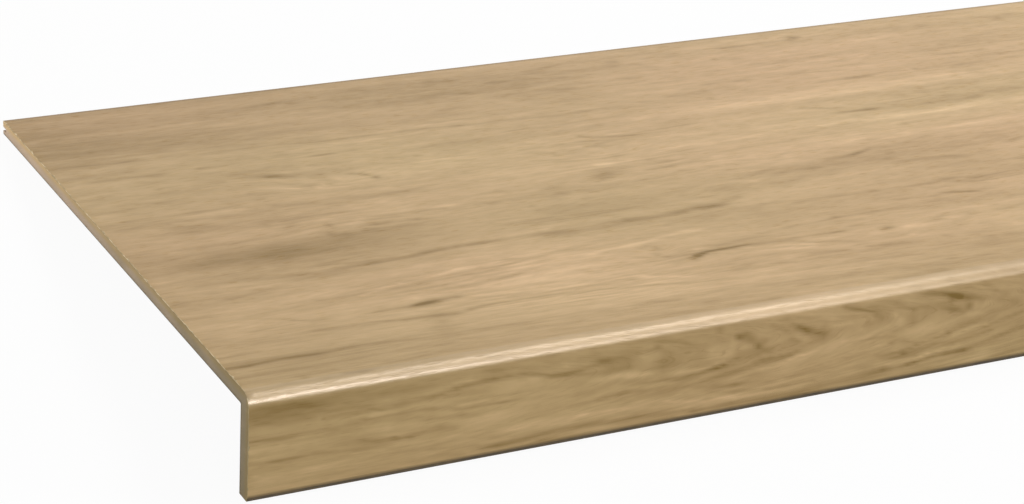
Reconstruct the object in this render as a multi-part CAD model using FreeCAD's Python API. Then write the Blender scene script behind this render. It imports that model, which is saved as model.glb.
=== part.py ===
"""Renovation stair tread: one laminated board turned down at the front into a nosing apron.

Tread and apron are one continuous piece, with one section all along its length.
The section is drawn level, as it sits on a stair: Y = 0 is the front face of the apron
and Y grows towards the back, Z = 0 is the walking surface.
The finished piece is then laid down on the floor, where it rests on the lower inner edge
of the apron and on the lower back edge of the board.

Final frame, in millimetres: +X along the nosing, +Y towards the back edge, +Z up,
origin at the middle of the footprint, on the floor.
"""

import FreeCAD
import Part

import math
import os

TREAD_LENGTH = 1000.0      # along the nosing, as sold
TREAD_DEPTH = 380.0        # front face of the apron to the back edge
BOARD_THICKNESS = 8.0      # walking surface to underside
NOSING_HEIGHT = 56.0       # walking surface to the bottom of the apron
APRON_THICKNESS = 9.5      # front face to the inner face that meets the old step
NOSING_RADIUS = 7.0        # rounded walking edge
TOE_EASING = 0.8           # softened lower front edge of the apron
INNER_BEAD = 0.6           # thin bead of glue left in the inner corner

GROOVE_DEPTH = 5.0         # from the back edge into the board
GROOVE_MOUTH = 2.2         # height of the groove at the back edge
GROOVE_ROOT = 1.9          # height of the groove at its root
GROOVE_TOP_LIP = 3.6       # board left above the groove mouth
GROOVE_LEAD_IN = 0.25      # small bevel on both lips, where a tongue enters


def point(y, z):
    """A point of the level section, at the left end of the tread."""
    return FreeCAD.Vector(-TREAD_LENGTH / 2, y, z)


def line(start, end):
    return Part.LineSegment(point(*start), point(*end)).toShape()


def quarter_arc(centre, radius, from_degrees):
    """A quarter circle that starts at from_degrees, counted from +Y towards +Z, and turns anticlockwise."""
    stops = [math.radians(from_degrees + step) for step in (0, 45, 90)]
    on_arc = [
        point(centre[0] + radius * math.cos(stop), centre[1] + radius * math.sin(stop))
        for stop in stops
    ]
    return Part.Arc(*on_arc).toShape()


def front_run():
    """The walking surface, the rounded nosing, the apron with its eased toe, and the underside."""
    inner_y = APRON_THICKNESS
    under_z = -BOARD_THICKNESS
    return [
        line((TREAD_DEPTH, 0), (NOSING_RADIUS, 0)),
        quarter_arc((NOSING_RADIUS, -NOSING_RADIUS), NOSING_RADIUS, 90),
        line((0, -NOSING_RADIUS), (0, TOE_EASING - NOSING_HEIGHT)),
        quarter_arc((TOE_EASING, TOE_EASING - NOSING_HEIGHT), TOE_EASING, 180),
        line((TOE_EASING, -NOSING_HEIGHT), (inner_y, -NOSING_HEIGHT)),
        line((inner_y, -NOSING_HEIGHT), (inner_y, under_z - INNER_BEAD)),
        line((inner_y, under_z - INNER_BEAD), (inner_y + INNER_BEAD, under_z)),
        line((inner_y + INNER_BEAD, under_z), (TREAD_DEPTH, under_z)),
    ]


def back_run():
    """The back edge from the underside up, with the groove that takes a tongue or a loose spline."""
    mouth_top = -GROOVE_TOP_LIP
    mouth_bottom = mouth_top - GROOVE_MOUTH
    middle = (mouth_top + mouth_bottom) / 2
    root_y = TREAD_DEPTH - GROOVE_DEPTH
    lip_y = TREAD_DEPTH - GROOVE_LEAD_IN
    corners = [
        (TREAD_DEPTH, -BOARD_THICKNESS),
        (TREAD_DEPTH, mouth_bottom - GROOVE_LEAD_IN),
        (lip_y, mouth_bottom),
        (root_y, middle - GROOVE_ROOT / 2),
        (root_y, middle + GROOVE_ROOT / 2),
        (lip_y, mouth_top),
        (TREAD_DEPTH, mouth_top + GROOVE_LEAD_IN),
        (TREAD_DEPTH, 0),
    ]
    return [line(start, end) for start, end in zip(corners, corners[1:])]


def level_tread():
    """The board and its apron as they sit on a stair, swept along the nosing."""
    section = Part.Face(Part.Wire(front_run() + back_run()))
    return section.extrude(FreeCAD.Vector(TREAD_LENGTH, 0, 0))


def lay_on_floor(tread):
    """Turns the level tread about the nosing until the apron and the back edge both touch the floor."""
    drop = NOSING_HEIGHT - BOARD_THICKNESS
    span = TREAD_DEPTH - APRON_THICKNESS
    laid = tread.copy()
    laid.rotate(FreeCAD.Vector(0, 0, 0), FreeCAD.Vector(1, 0, 0), -math.degrees(math.atan2(drop, span)))
    box = laid.optimalBoundingBox(False, False)
    laid.translate(FreeCAD.Vector(0, -box.Center.y, -box.ZMin))
    return laid


os.makedirs("parts", exist_ok=True)
stair_tread = lay_on_floor(level_tread())
stair_tread.exportStep("parts/stair_tread.step")
print("stair_tread valid", stair_tread.isValid(), "volume_cm3", round(stair_tread.Volume / 1000, 1))
print("box", stair_tread.optimalBoundingBox(False, False))
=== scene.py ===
import math

import bmesh
import bpy
import numpy as np
from mathutils import Matrix, Quaternion, Vector
from mathutils import noise as perlin


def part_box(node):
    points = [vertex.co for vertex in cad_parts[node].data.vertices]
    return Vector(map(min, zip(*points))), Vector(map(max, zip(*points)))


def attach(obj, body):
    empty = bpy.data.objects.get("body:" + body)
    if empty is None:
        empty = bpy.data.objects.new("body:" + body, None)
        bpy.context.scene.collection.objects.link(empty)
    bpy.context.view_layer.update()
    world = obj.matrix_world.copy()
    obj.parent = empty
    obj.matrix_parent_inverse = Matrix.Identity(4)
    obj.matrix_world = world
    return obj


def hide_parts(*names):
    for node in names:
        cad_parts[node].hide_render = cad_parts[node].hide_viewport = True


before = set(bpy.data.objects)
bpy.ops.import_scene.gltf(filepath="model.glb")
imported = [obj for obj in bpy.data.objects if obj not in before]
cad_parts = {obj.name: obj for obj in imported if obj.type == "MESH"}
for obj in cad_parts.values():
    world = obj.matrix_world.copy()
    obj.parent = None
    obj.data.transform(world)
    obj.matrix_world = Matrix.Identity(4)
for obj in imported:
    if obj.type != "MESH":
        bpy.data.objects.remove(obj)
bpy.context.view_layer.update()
scene = bpy.context.scene
print("frame loaded")


# Small helpers for building shader trees

def newMaterial(name):
    material = bpy.data.materials.new(name)
    material.use_nodes = True
    tree = material.node_tree
    tree.nodes.clear()
    output = tree.nodes.new("ShaderNodeOutputMaterial")
    shader = tree.nodes.new("ShaderNodeBsdfPrincipled")
    tree.links.new(shader.outputs[0], output.inputs["Surface"])
    return material, tree, shader


def feed(tree, socket, value):
    if isinstance(value, bpy.types.NodeSocket):
        tree.links.new(value, socket)
    elif value is not None:
        socket.default_value = value


def calc(tree, operation, *values, clamp=False):
    node = tree.nodes.new("ShaderNodeMath")
    node.operation = operation
    node.use_clamp = clamp
    for socket, value in zip(node.inputs, values):
        feed(tree, socket, value)
    return node.outputs[0]


def combine(tree, x, y, z=0.0):
    node = tree.nodes.new("ShaderNodeCombineXYZ")
    for socket, value in zip(node.inputs, (x, y, z)):
        feed(tree, socket, value)
    return node.outputs[0]


def stored(tree, name):
    # the three numbers that keep() has stored with the mesh under this name
    attribute = tree.nodes.new("ShaderNodeAttribute")
    attribute.attribute_name = name
    parts = tree.nodes.new("ShaderNodeSeparateXYZ")
    tree.links.new(attribute.outputs["Vector"], parts.inputs[0])
    return parts.outputs


def noise(tree, places, sizes, detail=1.0, roughness=0.5):
    # patches of these sizes along the three places; where a size is None, the place is taken as it is,
    # and the third place is often only a seed
    scaled = [place if size is None else calc(tree, "MULTIPLY", place, 1 / size)
              for place, size in zip(places, sizes)]
    node = tree.nodes.new("ShaderNodeTexNoise")
    tree.links.new(combine(tree, *scaled), node.inputs["Vector"])
    node.inputs["Scale"].default_value = 1.0
    node.inputs["Detail"].default_value = detail
    node.inputs["Roughness"].default_value = roughness
    return node.outputs["Fac"]


def remap(tree, value, fromLow, fromHigh, toLow=0.0, toHigh=1.0, smooth=False):
    node = tree.nodes.new("ShaderNodeMapRange")
    node.interpolation_type = "SMOOTHSTEP" if smooth else "LINEAR"
    feed(tree, node.inputs["Value"], value)
    for name, number in (("From Min", fromLow), ("From Max", fromHigh), ("To Min", toLow), ("To Max", toHigh)):
        node.inputs[name].default_value = number
    return node.outputs[0]


def mixColour(tree, share, first, second, blend="MIX"):
    node = tree.nodes.new("ShaderNodeMix")
    node.data_type = "RGBA"
    node.blend_type = blend
    feed(tree, node.inputs["Factor"], share)
    feed(tree, node.inputs["A"], first)
    feed(tree, node.inputs["B"], second)
    return node.outputs["Result"]


def paint(colour):
    # screen colour, 0 to 255, as the linear colour that a shader takes
    def linear(level):
        level = level / 255
        return level / 12.92 if level <= 0.04045 else ((level + 0.055) / 1.055) ** 2.4
    return (*[linear(level) for level in colour], 1.0)


def emboss(tree, shader, height, strength, depth):
    node = tree.nodes.new("ShaderNodeBump")
    node.inputs["Strength"].default_value = strength
    node.inputs["Distance"].default_value = depth
    tree.links.new(height, node.inputs["Height"])
    tree.links.new(node.outputs[0], shader.inputs["Normal"])


# The board: one L-shaped section, swept along the nosing. Lengths in millimetres.
board = {
    "length": 1000.0,
    "depth": 380.0,
    "thickness": 8.0,
    "noseHeight": 56.0,
    "apronThickness": 9.5,
    "noseRadius": 7.0,
    "toeEasing": 0.8,
    "innerBead": 0.6,
    "grooveDepth": 5.0,
    "grooveMouth": 2.2,
    "grooveRoot": 1.9,
    "grooveTopLip": 3.6,
    "grooveLeadIn": 0.25,
    "acrossStep": 1.25,          # spacing of the mesh across the film, and along it
    "alongStep": 4.0,
    "sawnStep": 0.3,             # the first step in from a sawn end, on the underside
    "noseSteps": 12,
    "toeSteps": 4,
    "sharpAngle": 28.0,
    "bareToe": 1.1,              # raw edge between the film and the eased lower front edge
    "chipWidth": (0.12, 1.1),    # ragged strip along both sawn ends, where the saw has chipped the film
    "chipDepth": (0.05, 0.30),
    "wear": (0.11, 0.3),         # how quickly the gentle wear of that strip changes, and its share
    "bites": (0.7, 3.52, 0.08),  # the same for the sharp bites in it, and how few there are
}

filmSlot, coreSlot, backSlot, chipSlot, toeSlot = range(5)


def evenSteps(start, end, step):
    count = max(1, round(abs(end - start) / step))
    return [start + (end - start) * i / count for i in range(count)]


def sectionPoints():
    # (y, z, place across the film, slot of the strip to the next point), once round the level section
    b = board
    r, toe = b["noseRadius"], b["toeEasing"]
    bottom, under, inner = -b["noseHeight"], -b["thickness"], b["apronThickness"]
    arcEnd = r - r * math.pi / 2
    points = [(y, 0.0, y, filmSlot) for y in evenSteps(b["depth"], r, b["acrossStep"])]
    for i in range(b["noseSteps"]):
        turn = math.pi / 2 * i / b["noseSteps"]
        points.append((r - r * math.sin(turn), r * math.cos(turn) - r, r - r * turn, filmSlot))
    filmEnd = bottom + toe + b["bareToe"]
    points += [(0.0, z, arcEnd + z + r, filmSlot) for z in evenSteps(-r, filmEnd, b["acrossStep"])]
    points.append((0.0, filmEnd, arcEnd + filmEnd + r, toeSlot))
    toeStart = arcEnd + bottom + toe + r
    for i in range(b["toeSteps"]):
        turn = math.pi / 2 * i / b["toeSteps"]
        y, z = toe - toe * math.cos(turn), bottom + toe - toe * math.sin(turn)
        points.append((y, z, toeStart - toe * turn, toeSlot))
    points.append((toe, bottom, toeStart, coreSlot))
    points += [(inner, bottom, 0.0, backSlot), (inner, under - b["innerBead"], 0.0, backSlot),
               (inner + b["innerBead"], under, 0.0, backSlot), (b["depth"], under, 0.0, coreSlot)]
    mouthTop = -b["grooveTopLip"]
    mouthBottom = mouthTop - b["grooveMouth"]
    middle, halfRoot = (mouthTop + mouthBottom) / 2, b["grooveRoot"] / 2
    rootY, lipY = b["depth"] - b["grooveDepth"], b["depth"] - b["grooveLeadIn"]
    groove = [(b["depth"], mouthBottom - b["grooveLeadIn"]), (lipY, mouthBottom), (rootY, middle - halfRoot),
              (rootY, middle + halfRoot), (lipY, mouthTop), (b["depth"], mouthTop + b["grooveLeadIn"])]
    return points + [(y, z, b["depth"], coreSlot) for y, z in groove]


def restingPlace():
    # turns the level section so that apron and back edge both touch the floor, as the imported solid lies
    b = board
    angle = -math.atan2(b["noseHeight"] - b["thickness"], b["depth"] - b["apronThickness"])
    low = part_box("stair_tread")[0]
    turn = Matrix.Rotation(angle, 4, "X") @ Matrix.Scale(0.001, 4)
    turned = [turn @ Vector((0, y, z)) for y, z, *_ in sectionPoints()]
    shift = Vector((0, low.y - min(v.y for v in turned), low.z - min(v.z for v in turned)))
    return Matrix.Translation(shift) @ turn


toRest = restingPlace()


def keep(mesh, name, *parts):
    # three numbers for each point of the mesh, which its materials read
    values = np.stack(parts, 1).astype(np.float32)
    mesh.attributes.new(name, "FLOAT_VECTOR", "POINT").data.foreach_set("vector", values.ravel())


def ragged(count, limits, seed):
    # one number for each point round the section: long gentle wear with sharp little bites in it
    low, high = limits
    wearRate, wearShare = board["wear"]
    biteRate, biteShare, biteLimit = board["bites"]
    out = []
    for i in range(count):
        gentle = perlin.noise((i * wearRate, seed, 0.3)) * 0.5 + 0.5
        bite = max(0.0, perlin.noise((i * biteRate, seed, 7.7)) - biteLimit)
        out.append(low + (high - low) * min(1.0, gentle * (wearShare + biteShare * bite)))
    return out


def buildBoard():
    points = sectionPoints()
    count = len(points)
    half = board["length"] / 2
    film = [slot == filmSlot for y, z, across, slot in points]
    mesh = bpy.data.meshes.new("stair_tread_board")
    bm = bmesh.new()
    rows, places, levels = [], [], []

    def addRow(xs, sink):
        # sink presses the film into the board by that much
        row = []
        noseArc = board["noseRadius"] * math.pi / 2
        for i, (y, z, across, slot) in enumerate(points):
            bevel = sink[i] if film[i] else 0.0
            turn = math.pi / 2 * min(max((board["noseRadius"] - across) / noseArc, 0.0), 1.0)
            y, z = y + bevel * math.sin(turn), z - bevel * math.cos(turn)
            row.append(bm.verts.new(toRest @ Vector((xs[i], y, z))))
            places.append((xs[i] + half, across))
            levels.append((xs[i] + half, y, z))
        rows.append(row)

    def addEnd(side, seed):
        # a sawn end, and the first points in from it
        widths = ragged(count, board["chipWidth"], seed)
        nextIn = [side * (half - (w if f else board["sawnStep"])) for w, f in zip(widths, film)]
        ends = [([side * half] * count, ragged(count, board["chipDepth"], seed + 1)), (nextIn, [0.0] * count)]
        for xs, sink in ends[::-side]:
            addRow(xs, sink)

    addEnd(-1, 1.5)
    for x in evenSteps(-half, half, board["alongStep"])[1:]:
        addRow([x] * count, [0.0] * count)
    addEnd(1, 4.5)
    for k, (a, b) in enumerate(zip(rows, rows[1:])):
        atEnd = k in (0, len(rows) - 2)
        for i in range(count):
            j = (i + 1) % count
            face = bm.faces.new((a[i], b[i], b[j], a[j]))
            face.material_index = chipSlot if atEnd and film[i] else points[i][3]
            face.smooth = True
    for row in (rows[0][::-1], rows[-1]):
        bm.faces.new(row).material_index = coreSlot
    bmesh.ops.recalc_face_normals(bm, faces=bm.faces[:])
    bm.to_mesh(mesh)
    bm.free()
    places, levels = np.array(places), np.array(levels)
    line, drawn, lively, tint = filmFigure(places[:, 0], places[:, 1])
    keep(mesh, "grain", places[:, 0], line, lively)
    keep(mesh, "drawn", drawn, tint, places[:, 1])
    keep(mesh, "level", *levels.T)
    mesh.set_sharp_from_angle(angle=math.radians(board["sharpAngle"]))
    piece = bpy.data.objects.new("stair_tread_board", mesh)
    scene.collection.objects.link(piece)
    return piece


# The decor film's oak figure, in millimetres: x from the left end, then the place across the film,
# which is the distance from the nosing on the walking surface and negative on the apron.
apronZero = board["noseRadius"] * (2 - math.pi / 2)      # the film's place at the height of the walking surface


def onApron(drop):
    # place across the film, from the drop below the walking surface
    return apronZero - drop


growth = {
    # wandering of the grain: wavelength along and across, and how far
    "slowWobble": (240.0, 70.0, 10.0),
    "quickWobble": (60.0, 12.0, 2.6),
    "heartWobble": (15.0, 5.0, 4.4),          # close to the heart of the arches, so that they stay ragged
    "heart": onApron(18.5),                   # the arches on the apron point to the right along this line
    "heartReach": 13.0,
    "tipWidth": 1.5,                          # how blunt the arches are at their tips, and once open
    "heartWidth": 8.0,
    "opens": (150.0, 220.0),
    "climb": 0.15,                            # how fast the rings climb along the arches
    "climbs": (110.0, 560.0),                 # from where to where they do
    "climbEasing": 25.0,
    "climbFades": (-10.0, 65.0),              # the climb dies out between these places across the film
    "crowding": [                             # where the rings lie closer: place, half width, how much
        (onApron(52.0), 13.0, 1.6),
        (25.0, 28.0, 1.3),
    ],
    "partings": [                             # x, place, half length, half width, how strongly the grain parts
        (205, 70, 95, 24, 0.6),
        (123, 66, 20, 7, 0.7),
        (284, 68, 12, 6, 0.6),
        (402, 68, 16, 7, 0.6),
        (296, 190, 34, 12, 0.5),
        (525, 363, 20, 8, 0.5),
    ],
    "swirls": [                               # x, place, half length, half width, rise of the grain
        (140, 236, 30, 10, 8.0),
        (125, 176, 36, 9, -6.0),
        (312, 216, 36, 12, 7.0),
        (266, 82, 12, 8, 5.0),
    ],
}

drawing = {
    "apronTakesOver": (1.0, -4.0),            # where on the nosing the apron's figure takes over
    "shadePercent": 0.036,                    # change of tone for one percent, in broad shades and in marks
    "markPercent": 0.0225,
    # wandering of the marks along and across the grain, of their strength and of the hue, as above
    "drift": (22.0, 6.0, 10.0),
    "sway": (22.0, 8.0, 1.6),
    "patches": (30.0, 8.0, 1.4),
    "hue": (170.0, 60.0, 1.2),
    "fan": (190, 74, 72, 24),                 # x, place, half length and half width of a ringed fan
    "fanRings": (4.7, 3.4),                   # their spacing and percent
    "fanWaver": (90.0, 20.0, 2.0),
    "apronLively": (0.2, 0.4),                # how lively the apron's figure is, and how much more further on
}

# The figure that is drawn in, on the walking surface by the distance from the nosing and on the apron
# by the drop, with a few broad shades on the walking surface that are painted light and shade.
# Percents are of lightness, and below 0 they are darker.
# Shades and spots: percent, x, place, half length, half width and, where it isn't 0, tilt.
# Strokes: percent, half width, the line's points.
walkingMarks = {
    "shades": [
        (-6, 75, 150, 110, 12), (-4, 170, 138, 120, 8, 2), (-3, 250, 150, 60, 8, 4), (-3, 30, 30, 50, 24),
        (-2, 60, 345, 160, 22), (-5, 110, 350, 240, 60), (-5, 270, 345, 70, 26), (-5, 510, 140, 50, 16),
        (-4, 80, 140, 50, 20), (-3, 560, 234, 90, 10), (-3, 440, 164, 70, 11, 4), (-2, 545, 166, 60, 8, 8),
        (4, 360, 186, 50, 3.4, 3), (5, 520, 262, 120, 4), (4, 560, 270, 80, 3), (4, 450, 266, 60, 4),
        (2, 300, 225, 170, 14), (3, 195, 72, 50, 14), (3, 300, 40, 40, 5), (4, 540, 190, 60, 3),
        (4, 500, 217, 50, 4), (4, 560, 215, 50, 4), (3, 445, 146, 40, 2.4, 6), (6, 215, 50, 70, 26),
        (4, 170, 285, 70, 26), (5, 410, 185, 60, 14, 4), (-4, 120, 42, 16, 6, 75), (-3, 140, 26, 60, 12),
        (-4, 250, 12, 60, 7), (-3, 455, 30, 16, 20, 60), (3, 155, 192, 30, 8), (-4, 238, 262, 28, 5),
        # painted light and shade, darker at the left end and toward the back and lighter in the middle, where
        # the lamp light falls off: (-3, 10, 320 …), (3, 170, 240 …), (3, 200, 88 …), (-4, 330, 325 …), (-3,
        # 640, 320 …), (-3, 340, 232 …)
        (-3, 375, 248, 14, 8), (4, 80, 94, 22, 4), (3, 45, 88, 30, 6), (-3, 10, 320, 40, 60),
        (4, 195, 130, 46, 50), (3, 170, 240, 60, 22), (3, 200, 88, 40, 16), (-4, 330, 325, 40, 24),
        (-3, 640, 320, 60, 60), (-3, 340, 232, 50, 14),
    ],
    "strokes": [
        # low, close to the nosing
        (-5, 1.2, (28, 11.5), (45, 12)), (-6, 1.2, (75, 10.5), (90, 11), (105, 12), (118, 11.4), (143, 10)),
        (-4, 1.1, (0, 18), (25, 19), (50, 18.5)), (-4, 1.2, (60, 19.5), (72, 20)),
        (-6, 1.1, (53, 5.5), (66, 5)), (-7, 1.2, (106, 19.5), (112, 20)), (-6, 1.2, (157, 20.5), (168, 21)),
        (-6, 1.8, (176, 20), (184, 20)), (-5, 1.5, (136, 28), (142, 28)), (-5, 1.4, (152, 28), (157, 27.5)),
        (-5, 1.4, (200, 26), (207, 26)), (-8, 1.8, (223, 26), (233, 27)),
        (-6, 1.5, (235, 25.5), (245, 25.5)), (-6, 2.4, (217, 11), (240, 10)),
        (-7, 1.5, (270, 9), (280, 9), (291, 9)), (-5, 1.5, (322, 20), (345, 20.5)),
        (-5, 1.6, (350, 22), (356, 24)), (-6, 2, (370, 9.6), (382, 8.5), (397, 9)),
        (-6, 2.2, (398, 11), (408, 10)), (-5, 1.4, (408, 21), (415, 20.4)), (-6, 1.6, (431, 19), (438, 19)),
        (-5, 1.6, (378, 34), (393, 33)), (-4, 1.3, (90, 31), (105, 28)),
        # the line at the left end, and those that lead to the knots
        (-13, 1.5, (-4, 30), (12, 29.6), (30, 30.3), (48, 30.4)), (-6, 1.3, (58, 31), (75, 32), (84, 31.6)),
        (-8, 1.2, (-3, 41), (10, 42), (18, 42.6)), (-5, 1.4, (-3, 88), (12, 89)),
        (-4, 1.3, (28, 87), (60, 87.6), (88, 87.5)), (-6, 1.2, (86, 63.5), (95, 65)),
        (-6, 1.6, (99, 65), (110, 65), (118, 65.6)), (-7, 1.7, (134, 67), (141, 68)),
        (-5, 1.4, (143, 67), (150, 64), (160, 62), (170, 60)), (-5, 1.2, (57, 54.6), (62, 55)),
        (-7, 1.3, (67, 54), (80, 54.5), (92, 53.5)), (-5, 1.2, (92, 53), (103, 52)),
        (-8, 1.7, (106, 51), (118, 50.5), (132, 50)),
        (-9, 1.1, (142, 52), (150, 53.6), (160, 54.4), (175, 53.4), (190, 52.5), (205, 51), (222, 49),
         (236, 46), (246, 44), (258, 42)), (-6, 2.4, (258, 42), (272, 41), (284, 40)),
        (-4, 1.4, (41, 77), (50, 72), (58, 66), (68, 65)),
        # the ringed fan right of the first knot
        (-6, 1.2, (143, 77), (150, 76), (158, 76)),
        (-5, 1.2, (146, 71), (154, 72), (168, 70), (182, 68.4), (198, 66), (212, 63.6)),
        (-5, 1.1, (212, 63.6), (225, 61), (233, 58.6), (241, 54.6)), (-4, 1.1, (214, 73), (228, 70)),
        (-4, 1.1, (200, 58.4), (222, 55.4)), (-5, 1.3, (160, 91), (172, 92), (186, 95.6), (200, 98.6)),
        (-6, 1.4, (172, 79.6), (182, 82), (194, 86), (206, 88.6), (218, 91)),
        (-4, 1.4, (122, 87), (132, 86.5)), (-5, 1.3, (133, 89), (145, 91), (158, 91)),
        (-5, 2, (240, 83), (250, 86), (262, 92)), (-8, 1.5, (264, 78), (265.4, 82), (268, 87)),
        (-6, 2, (262, 75), (272, 74), (281, 73)), (-7, 2.2, (267, 68), (275, 69.4), (282, 70.6)),
        # from the second knot to the right
        (-19, 1.5, (285, 72), (290, 73.8), (298, 74.2), (310, 74.6), (322, 74), (335, 73.6), (346, 73)),
        (-13, 1.3, (346, 73.4), (358, 73.6), (371, 73)), (-7, 1.4, (371, 73.4), (383, 74)),
        (-4, 2, (300, 80), (312, 81), (330, 82)), (-6, 1.1, (333, 86), (345, 86.4), (352, 87)),
        (-8, 1.2, (354, 88), (366, 89), (376, 90), (384, 91.4)),
        (-7, 1.3, (384, 91.6), (400, 91.4), (415, 91.6)), (-5, 1.2, (418, 92), (425, 92.4)),
        (-5, 1.2, (438, 92), (452, 91.6)), (-6, 1.2, (459, 90), (468, 91)),
        (-5, 1.5, (344, 71), (351, 67.6), (362, 63.6), (372, 60)),
        (-5, 1.5, (325, 58), (335, 56.4), (343, 54)), (-7, 1.8, (346, 54), (353, 52), (363, 50.4)),
        (-6, 1.5, (298, 48), (306, 47.6)), (-5, 1.3, (318, 48), (327, 46.4)),
        (-9, 1.5, (434, 101), (445, 100), (456, 99.4)), (-6, 1.4, (456, 99.6), (468, 100.4)),
        (-11, 1.7, (467, 101), (473, 99.6), (480, 98)), (-5, 1.6, (481, 98.4), (496, 98.6)),
        (-5, 1.5, (420, 80), (431, 81)), (-6, 1.7, (432, 69), (440, 70.6), (448, 74)),
        (-6, 1.9, (447, 63), (455, 66), (460, 69)), (-5, 1.9, (482, 69), (493, 72)),
        (-7, 2.2, (381, 118), (392, 119), (401, 118.4)), (-5, 2, (401, 117.4), (422, 117)),
        (-5, 2, (430, 117), (452, 116)), (-8, 2.1, (475, 118.6), (484, 118), (493, 116.4)),
        (-9, 1.9, (499, 116.6), (510, 116), (517, 115)), (-5, 1.8, (458, 116.6), (468, 116.4)),
        # the long dark band, sharp above and soft below
        (-6, 2.4, (56, 121), (75, 120), (95, 119.6)),
        (-8, 2.3, (98, 120), (112, 121), (122, 120.6), (138, 122), (152, 124)),
        (-8, 2.6, (154, 124.4), (170, 125.2), (185, 125.4), (200, 125), (214, 125.2), (229, 125.2)),
        (-6, 4.6, (229, 123.6), (250, 123), (270, 125)),
        (-6, 4.5, (72, 114.6), (100, 114.6), (130, 115.6), (165, 118), (200, 120), (226, 120)),
        (-11, 2.6, (275, 127), (288, 126), (301, 126.4)), (-9, 3.6, (302, 129), (314, 130), (327, 129)),
        (-6, 3, (327, 128), (336, 130), (343, 134)), (-4, 3, (300, 118), (320, 116), (345, 117)),
        (-7, 1.3, (33, 104), (42, 106), (50, 108), (59, 109)), (-5, 1.4, (28, 113), (38, 114), (49, 115)),
        (-4, 1.5, (20, 124), (36, 123), (52, 124)),
        # between the band and the curls
        (-7, 2, (367, 160), (376, 162), (386, 166)), (-5, 1.8, (393, 160), (406, 159)),
        (-7, 2.2, (430, 167), (440, 168), (450, 171)), (-9, 1.5, (447, 169.6), (455, 172), (463, 175)),
        (-8, 2.2, (469, 150), (485, 150.6), (498, 149.6)),
        (-9, 2.2, (553, 157.4), (560, 158.6), (567, 161)),
        (-4, 1.2, (380, 200), (400, 201), (425, 201.4), (460, 203)), (-4, 1.3, (452, 213), (462, 213)),
        (-4, 1.4, (468, 214.4), (481, 214)), (-11, 2.6, (300, 198), (312, 199), (325, 200.4), (334, 198.6)),
        (-9, 1.4, (322, 188), (334, 188)), (-5, 1.8, (335, 190), (352, 191)),
        (-6, 1.7, (145, 206), (155, 204.6), (162, 204.6)), (-5, 1.5, (168, 206), (176, 205)),
        (-6, 1.6, (180, 207), (188, 208), (197, 210)), (-6, 1.7, (2, 213.4), (15, 214.6), (33, 214)),
        (-6, 1.7, (42, 215), (57, 215)), (-6, 1.5, (64, 214), (79, 216)),
        (-6, 2.5, (40, 198), (47, 196), (56, 194)), (-6, 1.8, (33, 191.6), (42, 190.6)),
        (-6, 1.8, (110, 207.6), (123, 207)), (-5, 1.9, (-2, 231.4), (10, 230), (19, 230)),
        (-6, 1.6, (42, 234), (57, 234.4)), (-6, 2.2, (102, 252), (114, 250)),
        (-8, 2.4, (116, 249.4), (124, 246.6)), (-8, 2.2, (118, 235.4), (124, 232.6), (130, 230)),
        (-7, 1.9, (141, 234), (144, 231), (147, 227)),
        (-11, 1.5, (156, 238.6), (162, 236.6), (165.4, 233), (167, 229)),
        (-12, 1.5, (311, 247.4), (318, 244.6), (327, 242.6), (339, 240.6)),
        (-12, 2.1, (481, 232.6), (492, 232), (506, 232)), (-7, 2, (453, 231.6), (468, 231)),
        (-8, 1.7, (464, 245.4), (472, 243)), (-7, 1.9, (475, 242), (483, 240.6)),
        (-6, 2.8, (506, 231), (518, 230)), (-6, 2.6, (529, 229), (545, 229), (560, 228.4), (582, 228.4)),
        (-5, 1.2, (517, 204.4), (530, 205), (540, 205)), (-4, 1.3, (545, 197), (576, 198)),
        # far part
        (-6, 2, (22, 273), (40, 273), (56, 271.6)), (-6, 1.7, (84, 273.4), (103, 273)),
        (-7, 1.4, (145, 270.6), (159, 270.6)), (-5, 1.4, (185, 270), (197, 269.6)),
        (-6, 1.3, (144, 290.5), (160, 290), (176, 290), (190, 290.5), (206, 290), (222, 289.6)),
        (-6, 1.3, (222, 289), (235, 288.5), (247, 288)), (-6, 1.4, (250, 288), (272, 286.6), (288, 286)),
        (-7, 1.4, (294, 286), (310, 284.6), (332, 285)), (-5, 1.4, (344, 284), (360, 282.6), (376, 281)),
        (-5, 1.4, (10, 299), (25, 298), (41, 297)), (-4, 1.5, (74, 312), (91, 313)),
        (-4, 1.5, (234, 298), (256, 296)), (-7, 1.3, (403, 315.6), (413, 314.4)),
        (-4, 1.8, (290, 325), (326, 325)), (-4, 1.6, (-2, 318), (30, 318)),
        (-9, 1.7, (472, 359.4), (488, 359.6), (503, 361), (515, 360)),
        (-7, 2, (499, 284.6), (510, 284), (520, 284)), (-10, 1.7, (519, 283.6), (531, 283.6)),
        (-7, 1.7, (534, 285), (548, 286.4), (566, 285.4)), (-9, 1.7, (583, 284), (595, 284), (607, 282.6)),
        (-6, 1.7, (609, 283.6), (626, 283), (642, 284)), (-5, 1.8, (545, 273), (561, 273.6)),
        (-6, 1.3, (535, 303.6), (545, 303), (557, 302.6)), (-6, 1.6, (609, 303), (622, 303.6), (636, 303)),
        (-7, 1.8, (656, 314.6), (668, 313), (677, 312)),
        # light lines
        (8, 1.3, (100, 86), (110, 90), (122, 92)),
        (6, 1.4, (122, 92), (135, 94.6), (150, 97), (166, 99.4), (182, 101)),
        (7, 1.6, (140, 94), (158, 97)), (7, 1.5, (155, 66), (175, 62), (195, 60), (215, 59)),
        (6, 1.4, (150, 74.4), (165, 74), (180, 72.6), (200, 71)),
        (9, 1.5, (316, 71), (330, 68.4), (345, 66), (351, 64)), (9, 1.5, (324, 64.6), (336, 62), (349, 60)),
        (9, 1.3, (245, 57.4), (254, 53.4), (264, 49.4)), (6, 1.2, (234, 48.4), (247, 46)),
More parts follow.
